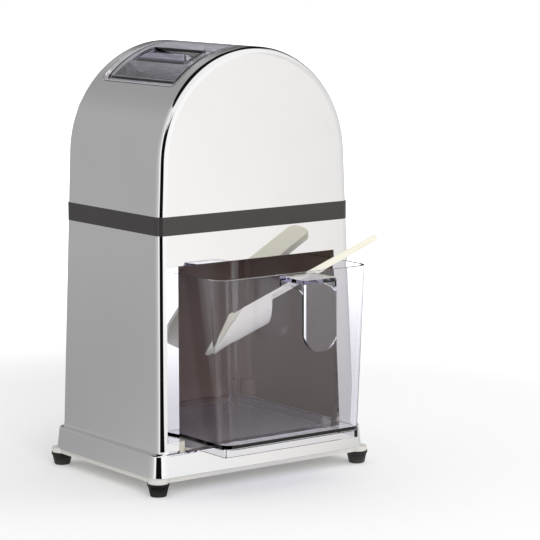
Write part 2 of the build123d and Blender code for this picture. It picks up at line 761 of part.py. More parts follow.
def crush_chamber():
    """Moulded chamber round the rotor, with its mounting flange and bush bosses."""
    half = chamber_half_length
    body = extrude(chamber_outline(chamber_wall), amount=half + chamber_wall, both=True)
    flange_half_width = lip_half_width - lip_wall - seat_gap
    flange_half_depth = lip_half_depth - lip_wall - seat_gap
    flange = block(flange_half_width, flange_half_depth, flange_corner, lug_top, flange_top)
    for side in (-1, 1):
        notch = block(lug_length, boss_y - lug_length / 2, flange_corner, lug_top - past,
                      flange_top + past)
        flange = flange - Pos(side * (flange_half_width + lug_length / 4), 0, 0) * notch
    body = body + flange
    for side in (-1, 1):
        start, end = sorted((side * half, side * (half + chamber_wall + chamber_boss)))
        body = body + rod(0, shaft_height, chamber_boss_radius, start, end)
    body = body - extrude(chamber_outline(0), amount=half, both=True)
    body = body - rod(0, shaft_height, bush_radius + slip_gap, -body_depth / 2, body_depth / 2)
    for y, z in comb_screw_places():
        left = throat_x()[0]
        hole = Pos(left, y, z) * Rot(0, 90, 0) * Cylinder(screw_hole_radius, 4 * chamber_wall)
        body = body - hole
    for x, y in boss_places:
        body = body - pillar(x, y, screw_hole_radius, lug_top - past, flange_top + past)
    return body


def bush(side, length):
    """Flanged bush; its flange lies inside the chamber's end wall."""
    face = side * chamber_half_length
    journal = rear_journal_radius if side > 0 else front_journal_radius
    start, end = sorted((face, face + side * length))
    sleeve = rod(0, shaft_height, bush_radius, start, end)
    start, end = sorted((face - side * bush_flange, face))
    flange = rod(0, shaft_height, bush_flange_radius, start, end)
    bore = rod(0, shaft_height, journal + running_gap, -body_depth, body_depth)
    return sleeve + flange - bore


front_bush_length = chamber_wall + chamber_boss
rear_bush_end = upper_half_depth + bush_proud
rear_bush_length = rear_bush_end - chamber_half_length


# ================================================================ fixed comb
def comb_screw_places():
    """Y and Z of the comb's screws."""
    spread = disc_pitch * (disc_count - 1) / 2
    return [(sy * spread, shaft_height + sz * comb_screw_rise)
            for sy in (-1, 1) for sz in (-1, 1)]


def comb_fingers_y():
    """Fingers stand midway between the discs and outside the end discs."""
    first = -disc_pitch * disc_count / 2
    return [first + disc_pitch * index for index in range(disc_count + 1)]


def fixed_comb():
    """Steel comb on the chamber's left wall; its fingers reach between the discs."""
    left = throat_x()[0]
    face = left + comb_plate
    half_plate = chamber_half_length - 2 * running_gap - slip_gap
    comb = box(left, face, -half_plate, half_plate, shaft_height - comb_plate_height / 2,
               shaft_height + comb_plate_height / 2)
    tip = -(spacer_radius + finger_tip_gap)
    root = face - comb_plate / 2
    profile = [(root, shaft_height + finger_root_rise), (tip, shaft_height + finger_tip_rise),
               (tip, shaft_height - finger_tip_drop), (root, shaft_height - finger_root_drop)]
    face_2d = Plane.XZ * make_face(Polyline(profile, close=True))
    for y in comb_fingers_y():
        near = max(y - finger_thickness / 2, -half_plate)
        far = min(y + finger_thickness / 2, half_plate)
        comb = comb + Pos(0, far, 0) * extrude(face_2d, amount=far - near)
    for y, z in comb_screw_places():
        hole = Pos(left, y, z) * Rot(0, 90, 0) * Cylinder(pilot_radius, 4 * comb_plate)
        comb = comb - hole
    return comb


def comb_screws():
    """Screws through the chamber's left wall into the comb."""
    outer = throat_x()[0] - chamber_wall
    return as_one([Pos(outer, y, z) * Rot(0, 90, 0) * pan_screw(chamber_wall + comb_plate)
                   for y, z in comb_screw_places()])


# ================================================================ hopper
def hopper():
    """Funnel from the lid's opening down to the chamber, with a collar round the chamber."""
    left, right = throat_x()
    middle = (left + right) / 2
    throat_half = (right - left) / 2

    def funnel(grow, low, high):
        bottom = Pos(middle, 0, low) * Rectangle(2 * (throat_half + grow),
                                                 2 * (chamber_half_length + grow))
        top = Pos(0, 0, high) * Rectangle(2 * (hopper_mouth_half_width + grow),
                                          2 * (hopper_mouth_half_depth + grow))
        return loft([bottom, top], ruled=True)

    body = funnel(hopper_wall, chamber_top, hopper_top)
    rim = block(hopper_mouth_half_width + hopper_rim_reach,
                hopper_mouth_half_depth + hopper_rim_reach, hopper_corner,
                hopper_top - hopper_rim, hopper_top)
    grow = chamber_wall + seat_gap + hopper_wall
    collar = box(left - grow, right + grow, -chamber_half_length - grow,
                 chamber_half_length + grow, chamber_top - hopper_collar,
                 chamber_top + hopper_wall)
    grow = chamber_wall + seat_gap
    collar = collar - box(left - grow, right + grow, -chamber_half_length - grow,
                          chamber_half_length + grow, chamber_top - hopper_collar - past,
                          chamber_top)
    cutter = funnel(0, chamber_top, hopper_top)
    cutter = cutter + box(left, right, -chamber_half_length, chamber_half_length,
                          chamber_top - past, chamber_top)
    return body + rim + collar - cutter


# ================================================================ rotor
def polar(radius, angle):
    """Point in the XZ plane about the shaft, angle in degrees from +X towards +Z."""
    turn = math.radians(angle)
    return radius * math.cos(turn), shaft_height + radius * math.sin(turn)


def toothed_disc(index):
    """Steel disc with hooked teeth that bite as the disc turns from +X towards +Z."""
    y = disc_pitch * (index - (disc_count - 1) / 2)
    turn = disc_turn * index
    points = []
    for tooth in range(tooth_count):
        angle = turn + tooth * 360 / tooth_count
        points.append(polar(disc_root_radius, angle - tooth_back_angle))
        points.append(polar(disc_radius, angle - tooth_land_angle))
        points.append(polar(disc_radius, angle))
        points.append(polar(disc_root_radius, angle))
    disc = extrude(Plane.XZ * make_face(Polyline(points, close=True)),
                   amount=disc_thickness / 2, both=True)
    bore = square_bar(shaft_height, shaft_square + 2 * slip_gap, -disc_thickness, disc_thickness)
    return Pos(0, y, 0) * (disc - bore)


def disc_spacer(index):
    """Spacer tube between two discs, or between an end disc and a bush."""
    first_face = -disc_pitch * (disc_count - 1) / 2 + disc_thickness / 2
    if index == 0:
        start = -chamber_half_length + bush_flange + slip_gap
        end = first_face - disc_thickness
    elif index == disc_count:
        start = -first_face + disc_thickness
        end = chamber_half_length - bush_flange - slip_gap
    else:
        start = first_face + disc_pitch * (index - 1)
        end = start + disc_pitch - disc_thickness
    tube = rod(0, shaft_height, spacer_radius, start, end)
    return tube - square_bar(shaft_height, shaft_square + 2 * slip_gap, start - past,
                             end + past)


clip_face = -(chamber_half_length + front_bush_length) - running_gap
shaft_front = clip_face - clip_groove - shaft_tail
shaft_shoulder = rear_bush_end + seat_gap


def drive_shaft():
    """Square shaft with a journal at each end, a drive square and a stud for the nut."""
    square_half = chamber_half_length - bush_flange - slip_gap
    shaft = square_bar(shaft_height, shaft_square, -square_half, square_half)
    shaft = shaft + rod(0, shaft_height, front_journal_radius, shaft_front, -square_half)
    shaft = shaft + rod(0, shaft_height, rear_journal_radius, square_half, shaft_shoulder)
    drive_end = shaft_shoulder + drive_length
    shaft = shaft + square_bar(shaft_height, drive_square, shaft_shoulder, drive_end)
    shaft = shaft + rod(0, shaft_height, stud_radius, drive_end, drive_end + stud_length)
    groove = (rod(0, shaft_height, front_journal_radius + past, clip_face - clip_groove,
                  clip_face)
              - rod(0, shaft_height, front_journal_radius - clip_depth, clip_face - 2 * clip_groove,
                    clip_face + clip_groove))
    return shaft - groove


def shaft_clip():
    """Spring clip in the groove in front of the front bush."""
    thickness = clip_groove - 2 * running_gap
    start = clip_face - clip_groove + running_gap
    clip = rod(0, shaft_height, clip_radius, start, start + thickness)
    inner = front_journal_radius - clip_depth + slip_gap
    clip = clip - rod(0, shaft_height, inner, start - past, start + thickness + past)
    mouth = box(-inner, inner, start - past, start + thickness + past,
                shaft_height - clip_radius - past, shaft_height)
    return clip - mouth


# ================================================================ crank
hub_start = shaft_shoulder
hub_end = hub_start + crank_hub_length
arm_start = hub_end - crank_arm_thickness
knob_start = hub_end + knob_gap
knob_end = knob_start + knob_length
knob_z = shaft_height - crank_length


def crank_arm():
    """Hub and tapered arm; at rest the arm hangs straight down."""
    hub = Circle(crank_hub_radius)
    end = Pos(0, -crank_length) * Circle(crank_arm_end_radius)
    plan = make_hull(hub.edges() + end.edges())
    arm = Pos(0, hub_end, shaft_height) * (Plane.XZ * extrude(plan, amount=crank_arm_thickness))
    arm = chamfer(arm.edges().group_by(Axis.Y)[-1], length=crank_edge)
    arm = arm + rod(0, shaft_height, crank_hub_radius, hub_start, arm_start + crank_edge)
    arm = arm - square_bar(shaft_height, drive_square + 2 * slip_gap, hub_start - past,
                           hub_end + past)
    return arm - rod(0, knob_z, spindle_radius, arm_start - past, hub_end + past)


def crank_nut():
    """Domed cap nut on the shaft's stud."""
    across = 2 * nut_radius / math.sqrt(3)
    hexagon = RegularPolygon(across, 6)
    nut = Pos(0, hub_end + nut_height / 2, shaft_height) * (
        Plane.XZ * extrude(hexagon, amount=nut_height / 2))
    dome = Pos(0, hub_end + nut_height / 2, shaft_height) * Sphere(nut_radius - nut_step)
    dome = dome & box(-nut_radius, nut_radius, hub_end + nut_height / 2, hub_end + nut_height,
                      shaft_height - nut_radius, shaft_height + nut_radius)
    stud_end = shaft_shoulder + drive_length + stud_length
    return nut + dome - rod(0, shaft_height, stud_radius + slip_gap, hub_end - past,
                            stud_end + slip_gap)


def knob_spindle():
    """Pin riveted into the arm, with a flat head that keeps the knob on."""
    head_start = knob_end - knob_recess + knob_gap
    pin = rod(0, knob_z, spindle_radius, arm_start, head_start + spindle_head)
    return pin + rod(0, knob_z, spindle_head_radius, head_start, head_start + spindle_head)


def crank_knob():
    """Turned grip that spins on the spindle."""
    bore = spindle_radius + 2 * running_gap
    recess_radius = spindle_head_radius + seat_gap
    waist = knob_length * knob_waist_share
    flat_end = knob_end_radius - knob_bevel
    profile = [Line((bore, 0), (knob_neck_radius, 0)),
               ThreePointArc((knob_neck_radius, 0), (knob_neck_radius, waist / 2),
                             ((knob_neck_radius + knob_belly_radius) / 2, waist)),
               ThreePointArc(((knob_neck_radius + knob_belly_radius) / 2, waist),
                             (knob_belly_radius, (waist + knob_length) / 2),
                             (knob_end_radius, knob_length - knob_bevel)),
               Line((knob_end_radius, knob_length - knob_bevel), (flat_end, knob_length)),
               Line((flat_end, knob_length), (recess_radius, knob_length)),
               Line((recess_radius, knob_length), (recess_radius, knob_length - knob_recess)),
               Line((recess_radius, knob_length - knob_recess), (bore, knob_length - knob_recess)),
               Line((bore, knob_length - knob_recess), (bore, 0))]
    grip = revolve(make_face(profile), axis=Axis.Y)
    return Pos(0, knob_start, knob_z) * grip


# ================================================================ scoop
def flat_scoop():
    """Scoop along +X, its handle's end at the origin: flat handle, trough open at its front."""
    half_thick = scoop_handle_thickness / 2
    half_width = scoop_handle_width / 2
    handle = box(0, scoop_handle_length, -half_width, half_width, -half_thick, half_thick)
    handle = fillet(handle.edges().filter_by(Axis.Z).sort_by(Axis.X)[:2], radius=half_width * 0.8)
    handle = fillet(handle.edges().group_by(Axis.Z)[-1], radius=half_thick / 2)
    start = scoop_handle_length
    end = start + scoop_blade_length
    blade_half = scoop_blade_width / 2
    neck = [(start - blade_half, -half_width), (start, -blade_half), (start, blade_half),
            (start - blade_half, half_width)]
    neck = Pos(0, 0, half_thick - scoop_wall) * extrude(make_face(Polyline(neck, close=True)),
                                                        amount=scoop_wall)
    low = half_thick - scoop_blade_height
    back = start - scoop_wall
    side = [(back, half_thick), (start + scoop_blade_length * scoop_blade_flat, half_thick),
            (end, low + scoop_wall), (end, low), (start + scoop_blade_height / 3, low),
            (back, half_thick - 2 * scoop_wall)]
    shovel = Pos(0, blade_half, 0) * extrude(Plane.XZ * make_face(Polyline(side, close=True)),
                                             amount=scoop_blade_width)
    trough = extrude(Plane.YZ * RectangleRounded(scoop_blade_width, 2 * scoop_blade_height,
                                                 scoop_blade_round), amount=end + past)
    shovel = shovel & (Pos(0, 0, half_thick) * trough)
    hollow = extrude(Plane.YZ * RectangleRounded(scoop_blade_width - 2 * scoop_wall,
                                                 2 * (scoop_blade_height - scoop_wall),
                                                 scoop_blade_round - scoop_wall),
                     amount=end + past)
    slope = [(start, half_thick + past), (end + past, half_thick + past), (end + past, low),
             (start + scoop_blade_height / 3 + scoop_wall, low),
             (start, half_thick - 2 * scoop_wall)]
    slope = Pos(0, blade_half, 0) * extrude(Plane.XZ * make_face(Polyline(slope, close=True)),
                                            amount=scoop_blade_width)
    return handle + neck + (shovel - ((Pos(0, 0, half_thick) * hollow) & slope))


def scoop():
    """Scoop at rest: its handle crosses the drawer's front rim, its tip is at the left wall."""
    turn = Rot(0, 0, 180 - scoop_yaw) * Rot(0, scoop_tilt, 0) * Rot(scoop_roll, 0, 0)
    half_thick = scoop_handle_thickness / 2
    crossing = turn * Pos(scoop_overhang, scoop_handle_width / 2, -half_thick)
    length = scoop_handle_length + scoop_blade_length
    tip = turn * Pos(length, 0, half_thick - scoop_blade_height / 2)
    tilt = math.radians(scoop_tilt)
    away = math.cos(tilt) * math.sin(math.radians(scoop_yaw))
    reach = math.hypot(math.sin(tilt), away)
    rest_y = drawer_front + drawer_wall + seat_gap * math.sin(tilt) / reach
    rest_z = drawer_rim + seat_gap * away / reach
    tip_level = rest_z + tip.position.Z - crossing.position.Z
    left_wall = -drawer_half_width(tip_level) + drawer_wall
    rest_x = left_wall + scoop_tip_gap - (tip.position.X - crossing.position.X)
    place = Vector(rest_x, rest_y, rest_z) - crossing.position
    return Pos(place.X, place.Y, place.Z) * (turn * flat_scoop())


# ================================================================ all nodes
def all_nodes():
    """Every node by name."""
    nodes = {
        "lower_housing": lower_housing(),
        "seam_band": seam_band(),
        "upper_housing": upper_housing(),
        "base_plinth": base_plinth(),
        "bottom_plate": bottom_plate(),
        "drawer_tray": drawer_tray(),
        "foot_screws": foot_screws(),
        "base_screws": base_screws(),
        "housing_screws": housing_screws(),
        "crush_chamber": crush_chamber(),
        "hopper": hopper(),
        "fixed_comb": fixed_comb(),
        "comb_screws": comb_screws(),
        "front_bush": bush(-1, front_bush_length),
        "rear_bush": bush(1, rear_bush_length),
        "drive_shaft": drive_shaft(),
        "shaft_clip": shaft_clip(),
        "crank_arm": crank_arm(),
        "crank_nut": crank_nut(),
        "knob_spindle": knob_spindle(),
        "crank_knob": crank_knob(),
        "lid": lid(),
        "drawer": drawer(),
        "scoop": scoop(),
    }
    corner_names = ["foot_left_front", "foot_left_back", "foot_right_front", "foot_right_back"]
    for name, (x, y) in zip(corner_names, foot_places):
        nodes[name] = rubber_foot(x, y)
    for index in range(disc_count):
        nodes[f"toothed_disc_{index + 1}"] = toothed_disc(index)
    for index in range(disc_count + 1):
        nodes[f"disc_spacer_{index + 1}"] = disc_spacer(index)
    return nodes


def main():
    os.makedirs("parts", exist_ok=True)
    middle = (drawer_front - handle_reach + knob_end) / 2
    print("everything is moved along Y by", -round(middle, 3))
    for name, shape in all_nodes().items():
        shape = Pos(0, -middle, 0) * shape
        export_step(shape, f"parts/{name}.step")
        size = shape.bounding_box().size
        print(f"{name:18s} {size.X:7.1f} {size.Y:7.1f} {size.Z:7.1f}")


main()
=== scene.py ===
# %% [markdown]
# # A hand cranked ice crusher in a bright studio
# The object is a chromed arch on a chromed plinth, with a clear lid, a clear ice drawer and a
# rotor inside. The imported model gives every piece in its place. This lesson gives each piece
# its finish, and builds the studio whose reflections make chrome look like chrome.

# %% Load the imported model
import math

import bpy
import numpy as np
from mathutils import Matrix, Vector


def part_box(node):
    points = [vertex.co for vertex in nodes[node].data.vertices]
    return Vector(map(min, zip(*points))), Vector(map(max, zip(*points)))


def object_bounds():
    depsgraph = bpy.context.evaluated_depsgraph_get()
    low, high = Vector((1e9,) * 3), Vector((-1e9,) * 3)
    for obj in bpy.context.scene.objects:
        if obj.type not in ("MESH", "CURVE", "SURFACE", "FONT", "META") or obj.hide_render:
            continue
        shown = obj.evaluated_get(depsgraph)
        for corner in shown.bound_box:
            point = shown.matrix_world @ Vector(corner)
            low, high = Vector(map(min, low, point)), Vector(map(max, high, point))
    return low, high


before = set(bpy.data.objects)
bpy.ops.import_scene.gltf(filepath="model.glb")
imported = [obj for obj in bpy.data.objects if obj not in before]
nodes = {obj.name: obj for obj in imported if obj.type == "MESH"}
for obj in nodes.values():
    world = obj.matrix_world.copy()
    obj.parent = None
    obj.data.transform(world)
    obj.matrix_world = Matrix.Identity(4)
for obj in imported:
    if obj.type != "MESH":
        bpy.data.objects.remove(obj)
cad_low, cad_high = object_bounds()
band_low, band_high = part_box("seam_band")
MIDDLE = (band_low.y + band_high.y) / 2
print("nodes", len(nodes), "height in mm", round(1000 * (cad_high.z - cad_low.z), 1))

# %% [markdown]
# ## Two small helpers
# Colours are written as the sRGB hex values a painter would pick from a screen. Blender works
# with linear light, so one function turns them. A second one adds a shader node, sets its
# values and joins its inputs, which keeps each material readable as a short list of steps.

# %% Helpers for colours and shader nodes
MM = 0.001


def linear(code):
    """Linear RGBA of a hex colour: each channel c becomes ((c + 0.055) / 1.055) ** 2.4."""
    channels = np.array([int(code[i:i + 2], 16) / 255 for i in (1, 3, 5)])
    low = channels / 12.92
    high = ((channels + 0.055) / 1.055) ** 2.4
    return (*np.where(channels <= 0.04045, low, high).tolist(), 1.0)


def grey(level):
    """Linear RGBA of a neutral sRGB level from 0 to 255."""
    return linear("#" + 3 * f"{int(level):02x}")


def add(tree, kind, values=None, links=None, **settings):
    """Adds a node: settings are its properties, values its sockets' values, links its inputs."""
    made = tree.nodes.new(kind)
    for name, value in settings.items():
        setattr(made, name, value)
    for socket, value in (values or {}).items():
        made.inputs[socket].default_value = value
    for socket, source in (links or {}).items():
        tree.links.new(source, made.inputs[socket])
    return made


def new_material(name):
    """Empty node material with its Principled shader already joined to the output."""
    material = bpy.data.materials.new(name)
    material.use_nodes = True
    material.node_tree.nodes.clear()
    shader = add(material.node_tree, "ShaderNodeBsdfPrincipled")
    add(material.node_tree, "ShaderNodeOutputMaterial", links={"Surface": shader.outputs[0]})
    return material, material.node_tree, shader


def dress(names, material):
    """Gives CAD nodes one material."""
    for name in names:
        nodes[name].data.materials.clear()
        nodes[name].data.materials.append(material)


print("mid grey is", [round(c, 3) for c in grey(128)])

# %% [markdown]
# ## The camera
# The photograph was taken from the left of the drawer, a little above it, with a long lens.
# A camera fitted to the edges of the housing gives its place, in millimetres from the middle of
# the body on the table. The seam band's box says where that middle is.

# %% Camera
BODY_MIDDLE = Vector((0, MIDDLE, 0))
CAMERA_PLACE = Vector((-857.9, -1246.4, 344.7)) * MM + BODY_MIDDLE
CAMERA_TARGET = Vector((14.77, -44.79, 124.80)) * MM + BODY_MIDDLE
CAMERA_LENS = 166.04
CAMERA_ROLL = math.radians(-0.345)

camera_data = bpy.data.cameras.new("camera")
camera_data.lens = CAMERA_LENS
camera_data.clip_end = 50
camera = bpy.data.objects.new("camera", camera_data)
bpy.context.scene.collection.objects.link(camera)
look = (CAMERA_TARGET - CAMERA_PLACE).to_track_quat("-Z", "Y").to_matrix()
camera.matrix_world = (Matrix.Translation(CAMERA_PLACE)
                       @ (look @ Matrix.Rotation(CAMERA_ROLL, 3, "Z")).to_4x4())
bpy.context.scene.camera = camera
print("distance to the target in m", round((CAMERA_TARGET - CAMERA_PLACE).length, 3))

# %% [markdown]
# ## The studio seen by the chrome
# Polished chrome has no look of its own: it shows the room. In the photograph its front is
# nearly white, its left side is an even mid grey, each upright rounded edge holds a thin black
# line between two white ones, and a broad black line follows the crown. The real studio isn't
# known. This one is painted so that the lines fall in the same places: a white room with a
# grey wall at the left, a dark gap at the camera, and dark cloth behind the crusher that runs
# up and over it. It is fitted to this one view, and from behind a whole side reflects the
# dark gap. The walls are written once, as a ramp over the compass bearing, and used twice: by
# the world, and by the floor where a reflected ray lands on it.

# %% The room as ramps over the bearing
TOWARDS_CAMERA = (CAMERA_PLACE - BODY_MIDDLE) * Vector((1, 1, 0))
TOWARDS_CAMERA.normalize()
CAMERA_RIGHT = Vector((-TOWARDS_CAMERA.y, TOWARDS_CAMERA.x, 0))
# Places on the bearing ramps: 0 is straight behind the crusher, 0.25 the camera's left,
# 0.5 the camera and 0.75 its right. The room's walls change with height in three belts.
WALLS = [(0.0, 104), (0.03, 125), (0.06, 166), (0.165, 170), (0.20, 169), (0.24, 177),
         (0.30, 188), (0.35, 206), (0.375, 245), (0.39, 255), (0.403, 255), (0.409, 14),
         (0.522, 14), (0.530, 255), (0.66, 255), (0.683, "#FBF9F7"), (0.700, "#F1EEEC"),
         (0.710, "#E2E1DF"), (0.75, 228), (0.90, 214), (0.945, 104), (1.0, 104)]
MIDDLE_BELT = [(0.0, 150), (0.05, 172), (0.11, 155), (0.17, 158), (0.25, 182), (0.33, 210),
               (0.40, 244), (0.70, 250), (0.86, 235), (0.90, 120), (0.93, 14), (0.985, 14),
               (1.0, 150)]
CEILING = [(0.0, 14), (0.38, 14), (0.42, 240), (0.80, 250), (0.845, 240), (0.88, 14),
           (1.0, 14)]
# Belts change over between these heights, given as the sine of the angle above the horizon.
MIDDLE_START, MIDDLE_END = 0.30, 0.52
CEILING_START, CEILING_END = 0.67, 0.71


def ramp(tree, factor, stops):
    """Linear colour ramp through (place, colour) stops: a grey from 0 to 255 or a hex code."""
    made = add(tree, "ShaderNodeValToRGB", links={"Fac": factor})
    while len(made.color_ramp.elements) < len(stops):
        made.color_ramp.elements.new(0.5)
    for element, (place, colour) in zip(made.color_ramp.elements, stops):
        element.position = place
        element.color = linear(colour) if isinstance(colour, str) else grey(colour)
    return made.outputs["Color"]


def bearing(tree, direction):
    """Compass bearing in turns: (atan2(right, towards the camera) / 2 pi) + 0.5."""
    parts = []
    for axis in (CAMERA_RIGHT, TOWARDS_CAMERA):
        dot = add(tree, "ShaderNodeVectorMath", operation="DOT_PRODUCT",
                  values={1: axis}, links={0: direction})
        parts.append(dot.outputs["Value"])
    angle = add(tree, "ShaderNodeMath", operation="ARCTAN2", links={0: parts[0], 1: parts[1]})
    turns = add(tree, "ShaderNodeMath", operation="MULTIPLY_ADD",
                values={1: 0.5 / math.pi, 2: 0.5}, links={0: angle.outputs[0]})
    return turns.outputs[0]


def mix_colours(tree, factor, first, second):
    """First colour where factor is 0, second where it is 1."""
    made = add(tree, "ShaderNodeMix", data_type="RGBA", links={0: factor, 6: first, 7: second})
    return made.outputs[2]


def seen_or_through(tree, path):
    """1 for rays straight from the camera or through clear plastic, otherwise 0."""
    made = add(tree, "ShaderNodeMath", operation="MAXIMUM",
               links={0: path.outputs["Is Camera Ray"], 1: path.outputs["Is Transmission Ray"]})
    return made.outputs[0]


print("towards the camera", [round(c, 3) for c in TOWARDS_CAMERA])

# %% World
WORLD_LIGHT = 0.72
world = bpy.data.worlds.new("studio")
bpy.context.scene.world = world
world.use_nodes = True
tree = world.node_tree
tree.nodes.clear()
direction = add(tree, "ShaderNodeTexCoord").outputs["Generated"]
height = add(tree, "ShaderNodeSeparateXYZ", links={0: direction}).outputs["Z"]
turns = bearing(tree, direction)
room = ramp(tree, turns, WALLS)
for start, end, belt in ((MIDDLE_START, MIDDLE_END, MIDDLE_BELT),
                         (CEILING_START, CEILING_END, CEILING)):
    share = add(tree, "ShaderNodeMapRange", interpolation_type="SMOOTHSTEP",
                values={1: start, 2: end}, links={0: height})
    room = mix_colours(tree, share.outputs[0], room, ramp(tree, turns, belt))
path = add(tree, "ShaderNodeLightPath")
mirror_rays = add(tree, "ShaderNodeBackground", links={"Color": room})
plain_rays = add(tree, "ShaderNodeBackground",
                 values={"Color": grey(255), "Strength": WORLD_LIGHT})
camera_rays = add(tree, "ShaderNodeBackground", values={"Color": grey(255), "Strength": 1.0})
first = add(tree, "ShaderNodeMixShader",
            links={0: path.outputs["Is Glossy Ray"], 1: plain_rays.outputs[0],
                   2: mirror_rays.outputs[0]})
both = add(tree, "ShaderNodeMixShader",
           links={0: seen_or_through(tree, path), 1: first.outputs[0],
                  2: camera_rays.outputs[0]})
add(tree, "ShaderNodeOutputWorld", links={"Surface": both.outputs[0]})
print("light from the room", WORLD_LIGHT)

# %% [markdown]
# ## The floor
# A matt white disc keeps the soft shadow. A little of its own light lifts it nearly to white
# where nothing shades it, and more of it further out hides the horizon. A mirror ray that lands
# on it sees the wall of that bearing instead, with painted shade that makes it a touch darker
# close to the object.

# %% Floor
FLOOR_RADIUS = 6.0
FLOOR_PAINT = 0.80
FLOOR_LIFT = 0.20
LIFT_START = 0.28
LIFT_END = 0.9
PAINTED_SHADE_START = 0.15
PAINTED_SHADE_END = 1.3
DARKEST_PAINTED_SHADE = 0.86
FLOOR_CORNERS = 96
bpy.ops.mesh.primitive_circle_add(vertices=FLOOR_CORNERS, radius=FLOOR_RADIUS, fill_type="NGON")
floor = bpy.context.object
floor.name = "floor"
material = bpy.data.materials.new("matt white floor")
material.use_nodes = True
tree = material.node_tree
tree.nodes.clear()
place = add(tree, "ShaderNodeTexCoord").outputs["Object"]
length = add(tree, "ShaderNodeVectorMath", operation="LENGTH", links={0: place})
distance = length.outputs["Value"]
path = add(tree, "ShaderNodeLightPath")
paint = add(tree, "ShaderNodeBsdfDiffuse", values={"Color": (FLOOR_PAINT,) * 3 + (1,)})
far_lift = add(tree, "ShaderNodeMapRange", interpolation_type="SMOOTHSTEP",
               values={1: LIFT_START, 2: LIFT_END, 3: FLOOR_LIFT, 4: 1.0}, links={0: distance})
lift = add(tree, "ShaderNodeEmission", links={"Strength": far_lift.outputs[0]})
seen = seen_or_through(tree, path)
lifted = add(tree, "ShaderNodeAddShader", links={0: paint.outputs[0], 1: lift.outputs[0]})
plain = add(tree, "ShaderNodeMixShader",
            links={0: seen, 1: paint.outputs[0], 2: lifted.outputs[0]})
# Painted shade for mirror rays: the wall colour on the floor is dimmed close to the object,
# where its shadow would fall.
mirrored_painted_shade = add(tree, "ShaderNodeMapRange",
                values={1: PAINTED_SHADE_START, 2: PAINTED_SHADE_END, 3: DARKEST_PAINTED_SHADE, 4: 1.0},
                links={0: distance})
mirrored = add(tree, "ShaderNodeEmission",
               links={"Color": ramp(tree, bearing(tree, place), WALLS),
                      "Strength": mirrored_painted_shade.outputs[0]})
# A ray refracted by a slightly rough surface counts as both kinds, and sees the plain floor.
only_mirrored = add(tree, "ShaderNodeMath", operation="SUBTRACT", use_clamp=True,
                    links={0: path.outputs["Is Glossy Ray"], 1: seen})
both = add(tree, "ShaderNodeMixShader",
           links={0: only_mirrored.outputs[0], 1: plain.outputs[0], 2: mirrored.outputs[0]})
add(tree, "ShaderNodeOutputMaterial", links={"Surface": both.outputs[0]})
floor.data.materials.append(material)
print("floor radius in m", FLOOR_RADIUS)

# %% [markdown]
# ## Lamps
# Two large soft lamps: one in front, low enough to shine into the drawer, and one above to
# the right. They are hidden from mirror rays: the room already holds what the chrome shows.

# %% Lamps
LAMP_AIM = Vector((0, 0, 0.1))
# Each lamp's name, place in metres, side in metres and power in watts.
LAMPS = [
    ("key", (-0.7, -2.0, 1.2), 1.4, 20.0),
    ("fill", (1.3, -0.6, 2.1), 1.6, 9.0),
]
for name, spot, size, power in LAMPS:
    lamp_data = bpy.data.lights.new(name, "AREA")
    lamp_data.size = size
    lamp_data.energy = power
    lamp = bpy.data.objects.new(name, lamp_data)
    lamp.location = spot
    lamp.rotation_mode = "QUATERNION"
    lamp.rotation_quaternion = (LAMP_AIM - Vector(spot)).to_track_quat("-Z", "Y")
    lamp.visible_glossy = False
    lamp.visible_camera = False
    bpy.context.scene.collection.objects.link(lamp)
    print(name, "lamp at", spot)

# %% [markdown]
# ## Chrome plate
# The housings, the plinth and the crank are moulded or pressed, then polished and plated.
# Chrome is a metal: nearly white, metallic at 1, with almost no roughness. Two things keep it
# from looking like a computer's mirror: the plate follows the faint waviness of the moulding,
# and wiping leaves soft patches that are a little less sharp.

# %% Chrome plate
WAVE = 11 * MM
WAVE_DEPTH = 0.006 * MM
WIPE = 60 * MM
WIPE_LOW, WIPE_HIGH = 0.35, 0.75
PLATE_SHARP, PLATE_HAZY = 0.012, 0.045
PLATE_COLOURS = ("#FCFCFC", "#F5F5F6")
PLATE_REACH = 2.35 * MM
BARE_DULLNESS = 0.3


def calculate(tree, operation, *terms):
    """One Math node: a term is a number or the socket that it comes from."""
    numbers = {i: term for i, term in enumerate(terms) if isinstance(term, (int, float))}
    sockets = {i: term for i, term in enumerate(terms) if i not in numbers}
    return add(tree, "ShaderNodeMath", operation=operation, values=numbers,
               links=sockets).outputs[0]


def between(tree, factor, first, second):
    """Colour that goes from one hex code to another with the factor."""
    made = add(tree, "ShaderNodeMix", data_type="RGBA", links={0: factor},
               values={6: linear(first), 7: linear(second)})
    return made.outputs[2]


def plate(tree, shader):
    """Polished plate: bends the normal, gives place, wiping pattern, colour and roughness."""
    place = add(tree, "ShaderNodeTexCoord").outputs["Object"]
    wave = add(tree, "ShaderNodeTexNoise", values={"Scale": 1 / WAVE, "Detail": 0.0},
               links={"Vector": place})
    bump = add(tree, "ShaderNodeBump", values={"Strength": 1.0, "Distance": WAVE_DEPTH},
               links={"Height": wave.outputs[0]})
    tree.links.new(bump.outputs[0], shader.inputs["Normal"])
    wipe = add(tree, "ShaderNodeTexNoise", values={"Scale": 1 / WIPE, "Detail": 5.0,
                                                   "Roughness": 0.62, "Distortion": 0.6},
               links={"Vector": place}).outputs[0]
    haze = add(tree, "ShaderNodeMapRange", links={0: wipe},
               values={1: WIPE_LOW, 2: WIPE_HIGH, 3: PLATE_SHARP, 4: PLATE_HAZY})
    return place, wipe, between(tree, wipe, *PLATE_COLOURS), haze.outputs[0]


def bare_inside(tree, shader, depth, plated, plastic, haze):
    """Plate where depth is at most PLATE_REACH, and dull bare plastic deeper in."""
    bare = calculate(tree, "GREATER_THAN", depth, PLATE_REACH)
    metal = calculate(tree, "SUBTRACT", 1.0, bare)
    dull = calculate(tree, "MULTIPLY_ADD", bare, BARE_DULLNESS, haze)
    tree.links.new(metal, shader.inputs["Metallic"])
    tree.links.new(mix_colours(tree, bare, plated, plastic), shader.inputs["Base Color"])
    tree.links.new(dull, shader.inputs["Roughness"])


